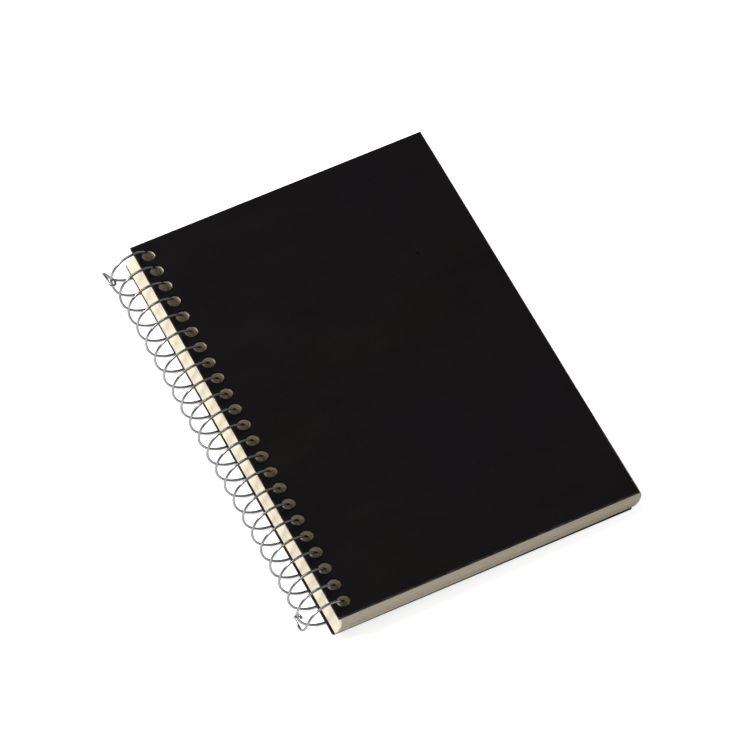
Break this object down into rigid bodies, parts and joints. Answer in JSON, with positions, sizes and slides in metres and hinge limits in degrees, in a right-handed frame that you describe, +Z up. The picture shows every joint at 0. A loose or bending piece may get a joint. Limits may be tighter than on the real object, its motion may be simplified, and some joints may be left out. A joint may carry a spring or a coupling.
{
  "type": "spiral notebook",
  "caption": "Closed pocket notebook: two black card covers and a thick block of cream sheets bound along one long side by a single steel wire spiral.",
  "frame": {"origin": "bottom centre of the closed book's bounding box, as it lies on a table on its coil and the back cover's fore-edge", "axes": "+X from the spine to the fore-edge, +Y along the spine from the near end to the far end, +Z up, out of the front cover"},
  "size_m": [0.1122, 0.1506, 0.0155],
  "materials": {
    "cover_card": "matte black dyed card",
    "sheet_paper": "matte uncoated cream paper",
    "wire_steel": "bright drawn wire"
  },
  "bodies": {
    "bound_block": {"page_block": "sheet_paper", "spiral_wire": "wire_steel"},
    "front": {"front_cover": "cover_card"},
    "back": {"back_cover": "cover_card"}
  },
  "joints": [
    {"name": "front_cover_hinge", "type": "hinge", "parent": "bound_block", "child": "front", "pos_m": [-0.0449, 0, 0.01136], "axis": [0, -1, 0], "range_deg": [0, 120]},
    {"name": "back_cover_hinge", "type": "hinge", "parent": "bound_block", "child": "back", "pos_m": [-0.04681, 0, 0.00371], "axis": [0, 1, 0], "range_deg": [0, 105]}
  ]
}
